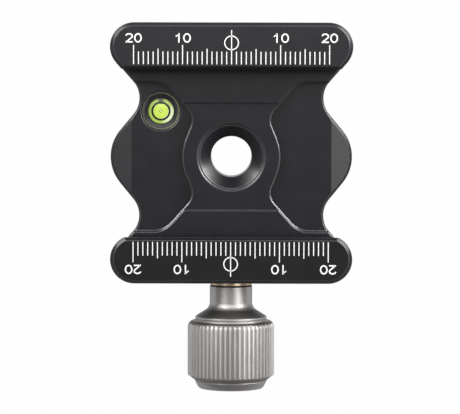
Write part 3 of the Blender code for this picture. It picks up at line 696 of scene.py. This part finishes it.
# A washer of turned brass takes the knob's thrust on the jaw. It sits in the jaw and doesn't
# turn with the knob, and its fine rings are left from the lathe.
washer = shaped_copy("brass_washer", "brass_washer_finished", "jaw", sharp_from=30)
material, shader, here = finish("turned_brass", Metallic=1.0)
rings = turning_rings(here, 80, 120)
mixed(here, (0.71, 0.54, 0.35), (0.98, 0.80, 0.57), rings).into(shader.inputs["Base Color"])
(0.26 + rings * 0.16).into(shader.inputs["Roughness"])
soft = here.node("ShaderNodeBevel", {"samples": 4}, Radius=0.0001)
bumped = here.node("ShaderNodeBump", Strength=0.3, Distance=0.00002, Height=rings, Normal=soft)
bumped.into(shader.inputs["Normal"])
washer.data.materials.append(material)


# A thin slip washer of black plastic keeps the knob and the brass washer apart. It shows as a
# dark line between the two and turns with the knob.
slip = shaped_copy("slip_washer", "slip_washer_finished", "knob", sharp_from=30)
material, shader, specks = speckled(
    "black_slip_plastic", (0.008, 0.008, 0.008), (0.02, 0.02, 0.02), 4000
)
(0.4 + specks * 0.2).into(shader.inputs["Roughness"])
slip.data.materials.append(material)


# The clamping screw is a steel stud with a fine rolled thread, fixed in the knob. Its thread
# shows between the jaw and the base when the clamp is open.
THREAD_PITCH = 0.001
THREAD_GROOVE = 0.0004
CREST_START = 0.44
CREST_END = 0.56
STEPS_A_TURN = 20

screw_low, screw_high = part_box("clamping_screw")
screw_radius = (screw_high.x - screw_low.x) / 2
turns = round((screw_high.y - screw_low.y) / THREAD_PITCH) - 1
bm = bmesh.new()
section = [
    bm.verts.new((screw_radius - THREAD_GROOVE, 0, 0)),
    bm.verts.new((screw_radius, 0, THREAD_PITCH * CREST_START)),
    bm.verts.new((screw_radius, 0, THREAD_PITCH * CREST_END)),
    bm.verts.new((screw_radius - THREAD_GROOVE, 0, THREAD_PITCH)),
]
edges = [bm.edges.new(pair) for pair in zip(section, section[1:])]
bmesh.ops.spin(
    bm, geom=edges, cent=(0, 0, 0), axis=(0, 0, 1), dvec=(0, 0, THREAD_PITCH / STEPS_A_TURN),
    angle=math.tau * turns, steps=STEPS_A_TURN * turns,
)
bmesh.ops.remove_doubles(bm, verts=bm.verts, dist=0.000002)
bmesh.ops.holes_fill(bm, edges=[edge for edge in bm.edges if edge.is_boundary], sides=0)
bmesh.ops.recalc_face_normals(bm, faces=bm.faces)
length = max(vertex.co.z for vertex in bm.verts)
screw_end = Matrix.Translation((
    (screw_low.x + screw_high.x) / 2,
    (screw_low.y + screw_high.y + length) / 2,
    (screw_low.z + screw_high.z) / 2,
))
laid_down = screw_end @ Matrix.Rotation(math.radians(90), 4, "X")
bmesh.ops.transform(bm, matrix=laid_down, verts=bm.verts)
screw = object_from(bm, "clamping_screw_finished")
smoothed(screw, sharp_from=40)
steel, shader, here = finish("ground_steel", Metallic=1.0)
rings = turning_rings(here, 50, 120)
mixed(here, (0.42, 0.42, 0.43), (0.62, 0.62, 0.62), rings).into(shader.inputs["Base Color"])
(0.2 + rings * 0.16).into(shader.inputs["Roughness"])
here.node("ShaderNodeBump", Strength=0.2, Distance=0.00002, Height=rings).into(shader.inputs["Normal"])
screw.data.materials.append(steel)
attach(screw, "knob")
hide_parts("clamping_screw")


# Two ground steel dowels are pressed into the movable jaw and slide in the base. Round each one
# a steel spring pushes the jaw open.
for side in ("left", "right"):
    pin = shaped_copy(f"guide_pin_{side}", f"guide_pin_{side}_finished", "jaw", sharp_from=30)
    pin.data.materials.append(steel)
    node = f"jaw_spring_{side}"
    spring = shaped_copy(node, f"{node}_finished", None, sharp_from=50)
    spring.data.materials.append(steel)
    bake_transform(spring)


# A grub screw of black oxide steel comes up through the base from below. Its tip runs in a flat
# on the left dowel and limits how far the jaw opens.
stop = shaped_copy("stop_screw", "stop_screw_finished", "clamp", sharp_from=30)
material, shader, specks = speckled(
    "black_oxide_steel", (0.02, 0.02, 0.02), (0.06, 0.06, 0.058), 2500, detail=3, Metallic=0.7
)
(0.3 + specks * 0.2).into(shader.inputs["Roughness"])
stop.data.materials.append(material)
